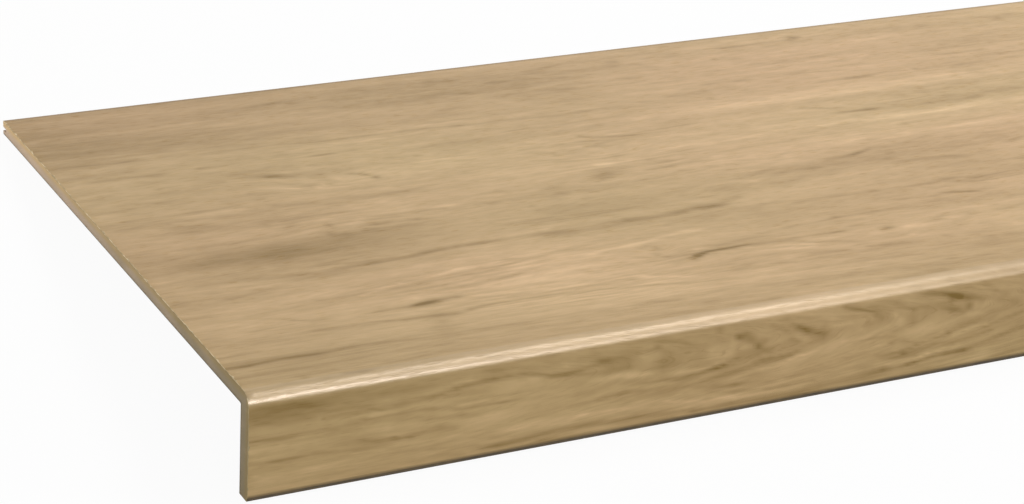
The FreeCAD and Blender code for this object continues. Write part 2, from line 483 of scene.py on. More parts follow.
        (6, 1.2, (354, 70), (369, 68)), (8, 1.7, (232, 92), (245, 95), (258, 97.4)),
        (8, 1.7, (258, 96.4), (275, 99), (290, 102), (303, 102.4)), (7, 1.3, (222, 105), (236, 107.4)),
        (5, 1.3, (194, 102), (212, 103), (222, 105)), (5, 1.2, (27, 118), (43, 119)),
        (5, 1.2, (42, 112), (61, 113)), (7, 1.3, (349, 214), (362, 215)),
        (9, 1.4, (368, 213), (380, 213.4), (395, 214), (411, 216)),
        (7, 1.3, (454, 217), (468, 218), (479, 219.4)), (6, 1.2, (329, 246.6), (338, 245.6)),
        (7, 1.7, (205, 243), (222, 241.6), (241, 239)), (7, 1.9, (106, 234), (112, 231), (118, 228.4)),
        (6, 1.9, (131, 256), (146, 254)), (6, 2, (51, 210), (65, 210), (78, 209.6)),
        (6, 1.3, (317, 193), (330, 193), (346, 194.4)), (5, 1.3, (480, 186), (500, 190)),
        (4, 2, (40, 342), (60, 341), (96, 342)), (5, 1.5, (225, 295), (245, 295)),
        (7, 1.2, (321, 289.6), (340, 289), (352, 289), (366, 286.4)), (5, 1.2, (284, 290.5), (305, 291)),
        (5, 2.3, (261, 335), (280, 331), (301, 331)), (5, 1.8, (509, 319), (522, 319), (531, 318)),
        (4, 2, (565, 345), (611, 347)), (5, 2.2, (516, 192), (535, 191), (561, 190)),
        (5, 2.6, (499, 215), (540, 216), (576, 220)), (4, 1.5, (30, 303), (56, 302)),
    ],
    "spots": [
        (-27, 125, 66, 7.5, 2.5, 3), (-10, 119, 65.4, 4, 2), (-5, 125, 66, 15, 4.5, 2),
        (-20, 285, 68.6, 3.2, 2.6, 30), (-8, 282, 71, 4, 2.6, 30), (-24, 403, 68.5, 3, 2.1),
        (-8, 409, 68.5, 3.2, 1.8), (-23, 527, 362.6, 4.6, 3, 30), (-8, 521, 358.6, 3.4, 2.4, 60),
        (-12, 577, 285, 2.4, 1.9), (-11, 506, 202.6, 3.6, 1.9, 20), (-9, 513, 204, 2, 1.4, 20),
        (-10, 416, 280, 1.8, 2.8), (-7, 413, 289.5, 4, 1.3), (-12, 47, 296.6, 3.5, 1.6),
        (-6, 54, 295.2, 4, 1.4, -10), (-6, 10, 29.2, 6, 1.8), (-7, 31, 9.6, 1.6, 1.7), (-6, 5, 64, 8, 6),
        (-8, 53.5, 68.6, 2.8, 2.4), (-4, 60, 65, 4, 3), (-5, 73, 88, 3, 1.6), (-7, 375, 56, 5, 2.5),
        (-8, 381, 50.6, 1.6, 2, 40), (-12, 393, 49, 8, 2.7, -8), (-5, 402, 47, 5, 3.4),
        (-6, 344, 20.6, 4, 1.4), (-5, 258, 16, 8, 3), (-5, 375, 26, 5, 2.3), (-6, 118, 120.6, 4, 2.2),
        (-5, 165, 125.4, 5, 1.8), (-6, 182, 125.2, 7, 1.7), (-6, 316, 129, 5, 2.2),
        (-6, 357, 121.6, 2.6, 2), (-6, 5, 107, 4, 2.4), (-6, 426, 117.2, 2.6, 1.8), (-5, 463, 116.6, 4, 2),
        (-5, 393, 84, 3, 1.4), (-5, 428, 49, 3, 2), (-5, 437, 40, 3, 1), (-7, 452, 37, 3, 2, 40),
        (-6, 467, 38, 4, 3), (-4, 272, 38, 12, 4), (-5, 342, 152, 11, 4, -8), (-4, 325, 157, 8, 3),
        # the curls
        (-9, 117, 174, 3, 4), (-9, 112, 163.6, 4.4, 4.2), (-11, 121, 160.6, 5.4, 2.2),
        (-9, 134, 161, 5, 2.2), (-10, 139.4, 167.6, 4.2, 2), (-8, 148, 169, 5, 2.2),
        (-11, 161, 166.4, 4.4, 2.3, -8), (-7, 155, 174, 6, 2.6), (-5, 151, 160, 8, 1.9),
        (-6, 87, 187, 2, 4.4, -12), (-7, 98, 181.6, 3, 3.2), (-4, 94, 176, 5, 4), (-6, 182, 173, 2.6, 1.8),
        (-4, 133, 148, 2.4, 1.6), (-4, 8, 164, 8, 7), (-3, 35, 150, 14, 5), (-3, 76, 150, 18, 7),
        (-3, 66, 165, 12, 6), (-9, 252, 182, 7.4, 2.9, 10), (-8, 256, 173, 6.4, 2.7, 15),
        (-10, 231, 162, 2.8, 1.6), (-5, 233, 156, 3, 1.4), (-9, 210, 174, 2.8, 2.3),
        (-6, 202, 175, 2.4, 2.8), (-5, 206, 150, 5, 1.7), (-5, 197, 148, 4, 2.4), (-6, 264, 161.6, 5, 1.6),
        (-5, 227, 186, 2.8, 4, -12), (-4, 272, 171, 4, 1.8), (-5, 276, 184, 2, 1.8),
        (-5, 289, 148, 2.4, 1.3), (-11, 287, 190, 5, 2.8, 24), (-11, 294, 190, 3.6, 4.6, -20),
        (-10, 288, 183.6, 3.6, 3.2), (-7, 300, 190, 8, 5.6, 12), (-7, 328, 201, 5, 2.4),
        (-5, 350, 200, 4, 1.8), (-3, 350, 207, 10, 5), (-6, 405, 232, 10, 4), (-4, 430, 232, 8, 4),
        (-7, 388, 159, 4, 1.8), (-8, 411, 159.4, 4, 2.3), (-7, 468, 166, 4, 2.2), (-5, 465, 157, 8, 3.6),
        (-7, 505, 148.6, 8, 3.4), (-8, 518, 152.6, 5, 1.8), (-6, 528, 151, 5, 2.4), (-5, 510, 145, 6, 1.8),
        (-8, 508, 180, 4.5, 1.6), (-5, 522, 178, 2, 3.4, -20), (-6, 437, 141.6, 2.5, 1.3),
        (-6, 455, 135, 3, 1.4), (-8, 170, 230, 3, 1.9, 20), (-6, 90, 229.4, 2.6, 1.5),
        (-5, 128.6, 250, 3, 2.2, 20), (-6, 296, 256, 2, 1.5), (-5, 290, 239.6, 2, 2.4),
        (-6, 281, 226, 2, 3.4), (-5, 303, 247, 6, 1.8), (-6, 313, 214, 6, 1.8), (-4, 278, 207, 1.6, 2.6),
        (-5, 210, 210, 1.7, 2), (-6, 227, 236.6, 4, 1.4), (-5, 268, 235, 3, 1.8), (-5, 268, 248, 4, 1.8),
        (-6, 205, 251.6, 3, 1.9), (-5, 217, 248.6, 1.6, 1.9), (-5, 228, 264, 3, 1.5),
        (-5, 360, 243, 3, 1.8), (-4, 385, 225, 5, 1.4), (-7, 46, 251.6, 1.6, 1.7), (-4, 23, 251, 3, 2.4),
        (-4, 57, 251, 6, 3.4), (-4, 67, 248, 3, 2), (-4, 140, 244, 2, 1.4), (-5, 36, 205, 3, 1.9),
        (-4, 12, 205, 8, 1.4), (-6, 25, 191, 3, 1.7), (-5, 97, 212, 4, 7), (-4, 130, 202, 5, 1.9),
        (-6, 17, 214.6, 3, 1.3), (-4, 188, 219, 5, 1.9), (-5, 525, 231.6, 2.6, 1.8),
        (-8, 543, 229, 3.6, 1.7), (-5, 578, 231, 5, 1.8), (-6, 595, 234, 5, 1.9), (-5, 613, 235, 4, 1.9),
        (-5, 560, 238, 3, 1.8), (-6, 571, 248, 7, 1.7), (-5, 552, 247, 6, 1.7), (-6, 590, 200, 4, 2),
        (-6, 58, 270, 8, 2.6), (-7, 80, 273.4, 3, 1.9), (-7, 170, 271.4, 4, 1.6), (-4, 112, 282, 8, 2.2),
        (-7, 215, 290, 5, 1.3), (-8, 245, 287.6, 3, 1.3), (-5, 50, 358, 5, 2.8), (-7, 158, 357, 8, 2.3),
        (-5, 170, 352.6, 4, 1.8), (-5, 143, 355, 5, 1.8), (-6, 110, 348, 2, 1.5), (-5, 196, 350, 8, 2.6),
        (-5, 217, 362, 4, 3.4, 30), (-4, 68, 306, 6, 1.8), (-4, 105, 302, 10, 1.8), (-5, 255, 315, 6, 1.8),
        (-5, 255, 306, 5, 1.5), (-4, 300, 314, 5, 2.6), (-8, 278, 360, 4, 2.7), (-6, 264, 361, 8, 3),
        (-7, 301, 347, 8, 1.9), (-7, 347, 362, 7, 2.3, 12), (-5, 335, 357, 8, 4.4), (-9, 388, 359, 3, 2.2),
        (-7, 385, 353, 5, 5, 40), (-5, 435, 356, 8, 4.4), (-5, 405, 348, 2, 2.6), (-7, 455, 343, 2, 2.6),
        (-5, 345, 342, 4, 1.9), (-5, 465, 338, 8, 7), (-6, 340, 324, 7, 2.2), (-7, 385, 328, 6, 3.6),
        (-7, 398, 316, 4, 1.5), (-5, 388, 315, 2, 1.4), (-6, 330, 305, 8, 2.4), (-6, 428, 303, 7, 1.8),
        (-8, 452, 302, 8, 1.8, -8), (-6, 395, 291, 5, 1.6), (-5, 420, 289, 1.8, 1.4),
        (-7, 480, 326, 7, 2.2), (-5, 497, 327, 6, 1.8), (-6, 520, 325.6, 6, 1.5), (-6, 566, 326, 3, 1.5),
        (-6, 594, 273, 5, 2.2), (-5, 610, 270, 6, 4.6), (-6, 527, 314, 6, 1.5), (-6, 605, 357, 5, 3.6),
        (-6, 628, 358, 5, 2.8), (-8, 685, 354, 6, 3.6, 20), (-7, 700, 357, 8, 6), (-6, 680, 360, 8, 2.8),
        (-7, 650, 328, 3, 2.3), (-5, 640, 327, 4, 1.7), (-5, 616, 321, 3, 1.5), (-6, 649, 284.6, 4, 1.7),
        (-5, 648, 294, 2, 2.8), (-5, 607, 312.6, 3, 1.3),
        # light spots
        (9, 120, 72.4, 4.6, 2.1), (5, 112, 70, 8, 2), (5, 115, 58, 14, 3), (7, 146, 79.6, 2.4, 1.4),
        (6, 190, 75.6, 12, 2.4), (7, 287, 79, 3, 1.4), (8, 327, 53, 6, 3), (9, 421, 67.6, 6, 3),
        (6, 445, 69, 4, 1.9), (7, 412, 57, 5, 2, 25), (6, 403, 54, 3, 1.5), (5, 450, 56, 5, 1.9),
        (6, 476, 50, 4, 2), (6, 10, 134, 9, 2.4), (5, 46, 135, 3, 1.5), (5, 66, 133, 3, 2.6),
        (9, 131, 175, 1.8, 5, -24), (5, 126.6, 168, 2, 3.4, -24), (5, 118, 183, 4, 2.4),
        (6, 160, 182, 8, 5), (7, 186, 177, 4, 2.2), (7, 297, 103, 6, 1.7), (7, 225, 132, 3, 2.2),
        (5, 259, 105, 4, 1.5), (12, 299, 204, 4.6, 2.7), (9, 312.6, 206.4, 6, 2.2),
        (8, 300, 233.6, 2.8, 1.5), (7, 282, 233.6, 2.2, 1.5), (6, 305, 228, 4, 2.6), (6, 336, 228, 5, 2.6),
        (6, 357, 234, 8, 3.2), (9, 371.4, 230.4, 3, 1.5), (6, 432, 219, 6, 1.6), (6, 460, 190, 15, 5),
        (5, 410, 180, 4, 3.4), (6, 373, 153, 6, 2.6), (5, 370, 194, 5, 1.6), (7, 138, 227, 2, 3),
        (6, 132, 235, 4, 1.9), (4, 143, 223, 6, 2.8), (4, 157, 228, 5, 3.6), (5, 149, 233.6, 2, 1.7),
        (6, 167, 254, 3, 1.5), (5, 187, 248, 2.2, 1.5), (4, 88, 248, 6, 3.6), (6, 4, 222, 6, 3.6),
        (6, 122, 186, 4, 1.5), (5, 214, 253, 6, 1.5), (5, 261, 232, 4, 1.8), (5, 254, 235, 2, 1.5),
        (6, 352, 262.4, 8, 2.2), (5, 320, 266, 5, 1.8), (5, 165, 339, 5, 2.6), (6, 180, 337, 6, 1.8),
        (5, 237, 339, 8, 2.6), (5, 237, 301, 5, 1.4), (5, 233, 280, 4, 4.4), (4, 250, 283, 6, 3.4),
        (4, 180, 284, 20, 1.8), (5, 330, 332, 8, 2.6), (5, 420, 342, 4, 3.6), (5, 450, 295, 12, 2.6),
        (6, 395, 300, 8, 3.4), (5, 475, 319, 18, 2.3), (6, 490, 371, 10, 1.8), (5, 450, 366, 10, 3.4),
        (6, 582, 345, 3, 1.9), (6, 558, 318.6, 3, 1.9), (7, 512, 217, 5, 2.6), (5, 498, 189, 6, 1.8),
    ],
}
apronMarks = {
    "shades": [
        (-8, 10, 10, 18, 5), (-5, 30, 9.6, 14, 4), (-4, 60, 11, 45, 5), (5, 12, 30, 16, 3),
        (4, 40, 44, 22, 3), (4, 130, 36, 18, 3), (5, 190, 42.6, 44, 3), (-3, 60, 37, 14, 3),
        (-4, 238, 18, 13, 6), (4, 258, 22, 10, 4), (-3, 300, 14, 20, 7), (3, 318, 30, 22, 5, -12),
        (-3, 356, 13, 12, 6), (-4, 398, 14, 14, 6), (4, 70, 14.4, 14, 2), (3, 150, 42, 20, 3),
        (4, 14, 47, 20, 3), (5, 418, 50, 12, 3.6), (4, 385, 28, 16, 4),
    ],
    "strokes": [
        (-5, 1, (3, 15.4), (17, 17.4), (24, 17)), (-6, 0.9, (42, 19.4), (50, 19), (58, 19.2)),
        (-6, 0.8, (61, 17.4), (71, 19)), (-7, 0.9, (77, 17.8), (86, 17.5), (97, 17)),
        (-7, 1, (97, 17), (104, 15.6), (110, 15)),
        (-10, 1.2, (109, 15), (115, 14), (122, 13.8), (128, 13.6)), (-8, 1, (127, 13.6), (138, 13.4)),
        (-13, 1.1, (145, 13.4), (152, 14.4), (158, 16), (162, 17.5), (170, 17.8), (176, 16.8), (184, 15.8)),
        (-8, 1.4, (188, 13.6), (197, 12.5)), (-6, 1.4, (178, 19), (190, 20.3), (203, 20)),
        (-4, 1, (72, 11), (84, 11)), (-8, 0.9, (-3, 25), (8, 24.5), (17, 24.6), (28, 24.9), (39, 24.8)),
        (-6, 0.8, (39, 24.8), (50, 24.4), (60, 24)), (-6, 0.8, (62, 23.8), (72, 22.8), (81, 23)),
        (-7, 0.9, (85, 23.4), (92, 24)), (-5, 0.8, (99, 24), (106, 24)),
        (-5, 0.8, (23, 27.5), (36, 28.3), (47, 27.8)), (-5, 0.9, (74, 26.4), (85, 27)),
        (-5, 1, (91, 29.3), (109, 29.7)),
        (-10, 0.9, (108, 25.8), (117, 26.4), (126, 26.8), (136, 27.6), (145, 28), (153, 28)),
        (-6, 1, (108, 21.6), (117, 22.5), (125, 22.5), (134, 23.2), (146, 23.5)),
        (-9, 1.2, (60, 34.4), (68, 35.4), (76, 35.5)), (-8, 0.9, (76, 35.5), (85, 36.4)),
        (-8, 1.4, (87, 36), (95, 35), (106, 36)), (-6, 1.2, (-3, 36.4), (11, 36.8)),
        (-8, 1.1, (13, 37), (25, 37.2), (32, 36.6), (42, 36.4)), (-5, 0.9, (42, 38), (51, 37.8)),
        (-5, 1, (112, 31), (121, 31.5)), (-5, 1, (132, 31.2), (142, 31.2)),
        (-4, 0.9, (77, 44.8), (88, 45.2), (98, 44.5)), (-6, 0.8, (98, 46), (106, 47), (119, 47.5)),
        (-5, 0.8, (120, 44), (129, 44.5), (141, 44)), (-7, 1.3, (103, 50.5), (113, 51.2)),
        (-4, 1, (164, 29.5), (178, 30.4), (188, 30.6)), (-5, 1.1, (165, 35), (175, 35.3), (184, 34.6)),
        (-9, 1.1, (191, 34.8), (199, 33.8), (206, 34), (214, 34.6)),
        (-8, 1.1, (211, 30.4), (225, 31), (233, 31.5)),
        (-9, 1.1, (233, 31.5), (240, 31), (248, 30), (259, 28.4)), (-6, 1.5, (259, 28), (265, 25.8)),
        (-5, 1.1, (204, 28), (214, 28.4)), (-6, 1.1, (212, 38.5), (222, 38.5), (231, 37.5), (241, 36.5)),
        (-5, 1, (248, 35.6), (262, 34.2), (272, 32.8), (281, 31)),
        (-16, 1.1, (244, 38.6), (250, 39.6), (258, 40.3), (265, 40.8), (271, 41.1)),
        (-8, 0.9, (272, 41.3), (281, 42), (291, 43)),
        (-8, 0.8, (252, 42.4), (262, 43.8), (270, 45), (281, 46), (291, 46.5)),
        (-11, 1.6, (130, 50.4), (142, 50), (152, 49.4), (175, 48.5), (185, 48.5), (200, 49.2),
         (215, 49.5), (230, 50), (245, 50.6)),
        (-12, 1.7, (245, 50.6), (260, 51.5), (275, 51), (290, 51.6), (305, 51.4), (318, 50.5), (330, 50),
         (345, 49.5), (359, 48.4)), (-9, 1.1, (155, 52.6), (180, 52.6), (205, 53), (232, 52.6)),
        (-7, 1, (290, 53.4), (325, 52.8)), (-8, 1.4, (221, 11.6), (225, 14.6), (225.6, 19)),
        (-8, 1.1, (223, 8.4), (230, 10.4), (237, 12)), (-10, 1.5, (259, 8.6), (263, 11.5), (267, 13.4)),
        (-9, 2, (268, 12.6), (275, 15), (280, 19), (281, 21)), (-6, 1.5, (281, 21), (277, 24), (269, 25.6)),
        (-5, 1.3, (266, 22.6), (273, 22)), (-10, 1.2, (287, 10.6), (292, 12.5), (297, 14.8)),
        (-10, 1.6, (298, 9), (302, 12), (306, 14.4)), (-10, 1.5, (306, 14.4), (310, 16), (313, 17.6)),
        (-8, 1.8, (313, 18), (317, 20), (316, 23)), (-6, 1.7, (305, 26), (312, 23.4)),
        (-10, 1.3, (335, 7.6), (341, 9.8), (346, 11.8)), (-7, 1.5, (346, 11.4), (350, 13.6), (349, 17)),
        (-9, 1.5, (361, 7.4), (368, 9.5), (372, 11.6)), (-9, 1.3, (371, 11), (376, 14), (380, 15)),
        (-6, 1.3, (376, 15), (377.4, 19), (378, 22)),
        (-11, 1.4, (383, 7.4), (390, 8.5), (396, 10), (401, 11.6)),
        (-10, 1.6, (401, 12), (409, 13.5), (415, 15.5), (420, 16.6)),
        (-8, 1.4, (399, 20), (406, 22.4), (409, 21)), (-6, 0.9, (418, 7.6), (425, 8.6)),
        (-6, 1.3, (281, 29.6), (290, 30.2), (300, 29)), (-4, 1, (334, 14.2), (346, 14)),
        (-5, 0.9, (334, 28), (346, 27.5)), (-5, 0.9, (350, 28), (359, 28.4)),
        (-5, 0.8, (359, 32.4), (367, 31.6), (374, 34), (381, 35.4)),
        (-9, 0.9, (369, 38.8), (380, 36.5), (388, 35), (395, 33.7), (401, 32.4)),
        (-7, 1, (401, 31.6), (410, 30.4), (419, 29)), (-7, 0.9, (355, 39), (362, 39), (367, 40)),
        (-7, 1, (359, 41.4), (368, 42.4), (378, 42)), (-6, 0.9, (368, 40.5), (380, 39.5), (391, 38.4)),
        (-6, 1.1, (399, 40), (415, 38), (425, 36)), (-5, 0.9, (336, 36.6), (348, 36.4)),
        (-9, 1, (298, 46.2), (305, 46), (314, 46.4)), (-7, 0.9, (288, 46.4), (298, 46.4)),
        (-5, 0.8, (315, 46), (331, 46)), (-5, 0.9, (303, 42.2), (315, 42), (323, 43.5)),
        (-10, 1.1, (362, 48), (370, 47.8), (377, 46.8)),
        (-12, 1.2, (376, 46.4), (388, 45.4), (398, 44.9), (409, 44.5)),
        (-14, 1.4, (409, 44.2), (418, 42.5), (428, 41), (450, 38), (476, 36), (500, 36.5)),
        (-7, 1, (424, 33.4), (434, 31.6), (448, 28)),
        # light lines
        (7, 1, (46, 29.6), (60, 30), (73, 29.5)), (6, 1, (57, 41), (71, 42)),
        (7, 1, (80, 40), (95, 40.5), (111, 40.5)), (6, 0.8, (67, 22), (81, 21.6)),
        (6, 0.9, (111, 24.6), (125, 25.4), (141, 26)), (7, 0.9, (107, 12), (119, 11.6)),
        (5, 1, (60, 20.8), (91, 20.4)), (7, 0.8, (227, 43), (236, 44.4), (244, 45.5)),
        (7, 1, (255, 45.5), (265, 47), (276, 48)), (6, 0.9, (139, 43), (155, 44), (171, 45)),
        (6, 1.6, (182, 24), (206, 24)), (6, 1.1, (203, 25.6), (219, 25.6)), (5, 1, (221, 33), (233, 33.5)),
        (5, 1, (234, 28), (246, 28)), (6, 0.9, (282, 34.6), (295, 33.5), (305, 32), (313, 30.4)),
        (6, 0.8, (324, 38.2), (335, 36), (345, 34.5), (356, 33)),
        (7, 1.3, (365.6, 15.4), (368, 19), (370.4, 22)), (7, 0.8, (364, 45.6), (378, 44), (387, 42.4)),
        (6, 0.9, (394, 42.8), (406, 41)), (6, 1, (404, 34.6), (415, 33), (425, 32)),
        (6, 0.9, (284, 48.2), (300, 48.7), (316, 48.2)), (5, 0.9, (325, 17), (333, 17)),
        (5, 1.1, (166, 51), (196, 51)),
    ],
    "spots": [
        (-6, 33, 10.5, 3.4, 1.2), (-8, 131, 9.5, 5, 2.1), (-7, 31, 16.8, 3.5, 1.4), (-6, 92, 17.2, 4, 1),
        (-7, 138, 13.3, 3, 1), (-9, 96, 24.1, 4, 1.1), (-5, 142, 28, 5, 0.9), (-5, 129, 24.2, 2, 0.8),
        (-4, 118, 19, 6, 1), (-7, 55, 33, 11, 3), (-9, 56, 38.8, 4, 1), (-6, 97, 33.5, 4, 1.5),
        (-5, 37, 36.8, 4, 1.2), (-9, 136, 50.2, 7, 1.5), (-10, 189, 14, 4, 1.8, 10),
        (-7, 206, 11, 6, 4.4, 30), (-5, 197, 16, 8, 3), (-8, 219, 11.4, 3, 1.5, -24),
        (-5, 228, 24, 10, 2.6), (-11, 267, 13.5, 3, 1.9, -20), (-6, 204, 34, 4, 0.9),
        (-5, 268, 44.8, 3, 0.9, -10), (-6, 301, 20.5, 2, 2.4), (-6, 357, 17, 5, 3.3), (-11, 399, 14, 3, 1),
        (-10, 409, 18, 2, 3), (-4, 398, 19, 5, 2), (-5, 427, 14, 2, 4.4), (-7, 347, 45.5, 6, 1.9),
        (-6, 400, 44.8, 4, 1.3), (-5, 293, 8, 3, 0.9), (-5, 285, 20, 4, 3.4), (-4, 322, 18.5, 3, 1.2),
        (-5, 434, 16, 4, 2.6, -40), (-5, 444, 20, 4, 3.4), (-7, 456, 24, 4, 1.4, 30),
        (8, 1.5, 43.5, 1.5, 0.9), (5, 32, 13.4, 4, 1), (5, 95, 14, 8, 1.2), (5, 140, 18, 10, 1.8),
        (6, 168, 13, 5, 1.8, -14), (6, 150, 18.5, 6, 1.5, -10), (6, 216, 16.4, 7, 3.4), (4, 237, 17, 6, 2),
        (7, 252, 18, 3, 2.2, -30), (8, 265, 48, 3, 0.9), (6, 172, 39, 4, 1), (6, 178, 42, 4, 1.3),
        (7, 306, 20.4, 3, 2.6), (6, 324, 11, 2.6, 2.4), (6, 330, 26.5, 5, 1), (7, 424, 19, 3, 2.7),
        (6, 412, 24, 5, 1.8), (6, 421, 25, 3, 1.5), (5, 393, 19, 4, 2),
    ],
    # growth rings that show as arches: distance from the heart, half width, percent
    "archRings": [
        (14.5, 1.3, -1.5), (18.5, 1.1, -2), (22.6, 1.4, -2), (25.6, 0.9, -1.5), (28.4, 1.2, -2),
        (32.9, 1.5, -2), (37.6, 1.6, -2), (40.6, 0.9, -1.5), (44.8, 1.3, -2), (47.8, 1.3, -2),
        (53.3, 1.6, -2.5), (57.6, 1.2, -2),
    ],
}
# hue, olive below 0 and pink above: x, place, half length, half width, share
tints = [(40, 340, 90, 50, 0.7), (170, 260, 130, 60, -0.7), (480, 330, 160, 60, 0.6),
         (560, 180, 120, 90, 0.5), (250, 120, 120, 40, -0.3)]
# where the figure is lively: x, place, half length, half width
livelyPlaces = [(205, 68, 110, 30), (133, 236, 50, 16), (300, 205, 60, 26), (130, 173, 70, 12)]


def ease(share):
    # a share between 0 and 1, softened at both ends
    share = np.clip(share, 0, 1)
    return share * share * (3 - 2 * share)


def bell(off, reach):
    return np.exp(-(off / reach) ** 2)


def spot(x, across, middleX, middleAcross, halfLength, halfWidth, tilt=0.0):
    # 1 at the middle of an oval, falling softly to 0
    turn = math.radians(tilt)
    offX, offAcross = x - middleX, across - middleAcross
    along = (offX * math.cos(turn) + offAcross * math.sin(turn)) / halfLength
    aside = (offAcross * math.cos(turn) - offX * math.sin(turn)) / halfWidth
    return np.exp(-along * along - aside * aside)


def stroke(x, across, points, halfWidth):
    # 1 along the line through the points, falling softly to 0 on both sides and more slowly beyond its ends
    off = np.full_like(x, 99.0)
    for (startX, startAcross), (endX, endAcross) in zip(points, points[1:]):
        length = math.hypot(endX - startX, endAcross - startAcross)
        turnX, turnAcross = (endX - startX) / length, (endAcross - startAcross) / length
        along = (x - startX) * turnX + (across - startAcross) * turnAcross
        aside = (across - startAcross) * turnX - (x - startX) * turnAcross
        beyond = np.maximum(np.maximum(-along, along - length), 0)
        off = np.minimum(off, (beyond / 3) ** 2 + aside ** 2)
    return np.exp(-off / halfWidth ** 2)


def drawMarks(x, place, marks, patchy):
    drawn = np.zeros_like(x)
    for percent, *oval in marks["spots"]:
        drawn += percent * spot(x, place, *oval)
    for percent, halfWidth, *points in marks["strokes"]:
        drawn += percent * stroke(x, place, points, halfWidth) * patchy
    drawn *= drawing["markPercent"]
    for percent, *oval in marks["shades"]:
        drawn += percent * drawing["shadePercent"] * spot(x, place, *oval)
    return drawn


def wander(x, across, layer, seed):
    # smooth wandering between about plus and minus half the reach
    length, width, reach = layer
    swing = [perlin.noise((px / length, pa / width, seed)) for px, pa in zip(x, across)]
    return reach * (np.array(swing) * 0.7)


def ringPlace(across):
    # distance from the heart line, counted in rings, which lie closer together in some places
    steps = np.linspace(-80, 420, 2001)
    crowd = 1 + sum(much * bell(steps - place, halfWidth) for place, halfWidth, much in growth["crowding"])
    reached = np.cumsum(crowd) * (steps[1] - steps[0])
    return np.interp(across, steps, reached - np.interp(growth["heart"], steps, reached))


def ringHeight(x, across, onFront, opening):
    # The fibres run along lines of equal ring height.
    g = growth
    bluntness = g["tipWidth"] + (g["heartWidth"] - g["tipWidth"]) * opening
    line = np.sqrt(ringPlace(across) ** 2 + bluntness ** 2)
    starts, ends = [np.logaddexp(0, (x - turn) / g["climbEasing"]) for turn in g["climbs"]]
    fadesFrom, fadesTo = g["climbFades"]
    fades = ease((across - fadesFrom) / (fadesTo - fadesFrom))
    line += g["climb"] * g["climbEasing"] * (starts - ends) * (1 - fades)
    for partX, partAcross, halfLength, halfWidth, strength in g["partings"]:
        line -= strength * (across - partAcross) * spot(x, across, partX, partAcross, halfLength, halfWidth)
    for swirlX, swirlAcross, halfLength, halfWidth, rise in g["swirls"]:
        line += rise * spot(x, across, swirlX, swirlAcross, halfLength, halfWidth)
    for seed, name in ((0.5, "slowWobble"), (1.5, "quickWobble")):
        line += wander(x, across, g[name], seed)
    nearHeart = bell(across - g["heart"], g["heartReach"])
    return line + wander(x, across, g["heartWobble"], 5.5) * onFront * opening * nearHeart


def filmFigure(x, across):
    # at each place: height of the rings, lightness of the drawn marks, how lively the figure is, and its hue
    d = drawing
    high, low = d["apronTakesOver"]
    onFront = np.clip((high - across) / (high - low), 0, 1)
    opensFrom, opensTo = growth["opens"]
    opening = ease((x - opensFrom) / (opensTo - opensFrom))
    line = ringHeight(x, across, onFront, opening)

    # the marks wander a little, so that none is a clean oval
    driftX = x + wander(x, across, d["drift"], 11.5)
    driftAcross = across + wander(x, across, d["sway"], 12.5)
    patchy = 1 + wander(x, across, d["patches"], 13.5)
    drawn = drawMarks(driftX, driftAcross, walkingMarks, patchy) * (1 - onFront)
    drawn += drawMarks(driftX, apronZero - driftAcross, apronMarks, patchy) * onFront
    for distance, halfWidth, percent in apronMarks["archRings"]:
        drawn += percent * d["markPercent"] * bell(line - distance, halfWidth) * onFront * patchy * opening
    spacing, percent = d["fanRings"]
    rings = np.cos(2 * math.pi * line / spacing + wander(x, across, d["fanWaver"], 14.5)) ** 3
    drawn += percent * d["markPercent"] * rings * spot(x, across, *d["fan"]) * patchy

    least, more = d["apronLively"]
    lively = (least + more * opening) * onFront + sum(spot(x, across, *place) for place in livelyPlaces)
    tint = wander(x, across, d["hue"], 21.5)
    for *oval, share in tints:
        tint += share * spot(x, across, *oval)
    return line, drawn, np.minimum(lively, 1.0), np.clip(tint, -1, 1)


# The decor film's own look, between the drawn marks
tone = {
    "dark": (132, 103, 46),
    "lightOlive": (220, 191, 141),
    "lightPink": (226, 188, 145),
    "middle": 0.60,
    "clouds": (320.0, 46.0, 0.20, 1.0),       # length, width, weight, detail
    "bands": (120.0, 11.0, 0.20, 2.0),
    "mottle": (18.0, 5.5, 0.15, 2.0),
    "fibres": (15.0, 2.6, 0.12, 3.0),
    "figured": (130.0, 3.4, 0.23, 1.0),       # shown only where the grain swirls
    "fibresInMarks": 5.0,                     # how much stronger the fibres are in the drawn marks
    "growthLines": (300.0, 16.0, 0.12, 0.05), # length, width, weight, sharpness
    "lineGroups": (120.0, 26.0, 0.45, 0.62),  # length, width, and between which levels the lines come up
    "pores": (9.0, 0.55, 0.08, 0.09),         # length, width, weight, how few there are
    "heartBlend": 9.0,                        # how far from the heart line the streaks change sides
}

finish = {
    "edgeShadeColour": (92, 76, 50),               # painted shade: the film is darkened toward this where it ends
    "backShade": (3.4, 0.6, 0.42),            # painted shade at the back edge: from and to how far from it, and how much
    "footShade": (1.7, 0.2, 0.72),            # painted shade at the foot of the apron
    "specular": (0.20, 1.0),                  # on the flat faces, and on the nosing, where the film is smooth
    "nosing": (8.5, 5.5, -0.8, -3.2),         # where along the film the smooth nosing fades in and out
    "roughness": 0.34,
    "rougher": (0.25, 0.35),                  # how much rougher the pores and the fibres are
    "poreDepth": 0.6,
    "ripples": (6.0, 1.7, 2.0),               # length, width and height of the embossed ripples
    "relief": (0.5, 0.0001),
}


def streaks(tree, x, line, side, layer, seed):
    # soft streaks that follow the grain, about 0 in the middle
    length, width, weight, detail = layer
    depth = calc(tree, "ADD", side, seed)
    value = noise(tree, (x, line, depth), (length, width, None), detail, 0.55)
    return calc(tree, "MULTIPLY_ADD", value, weight * 2, -weight)


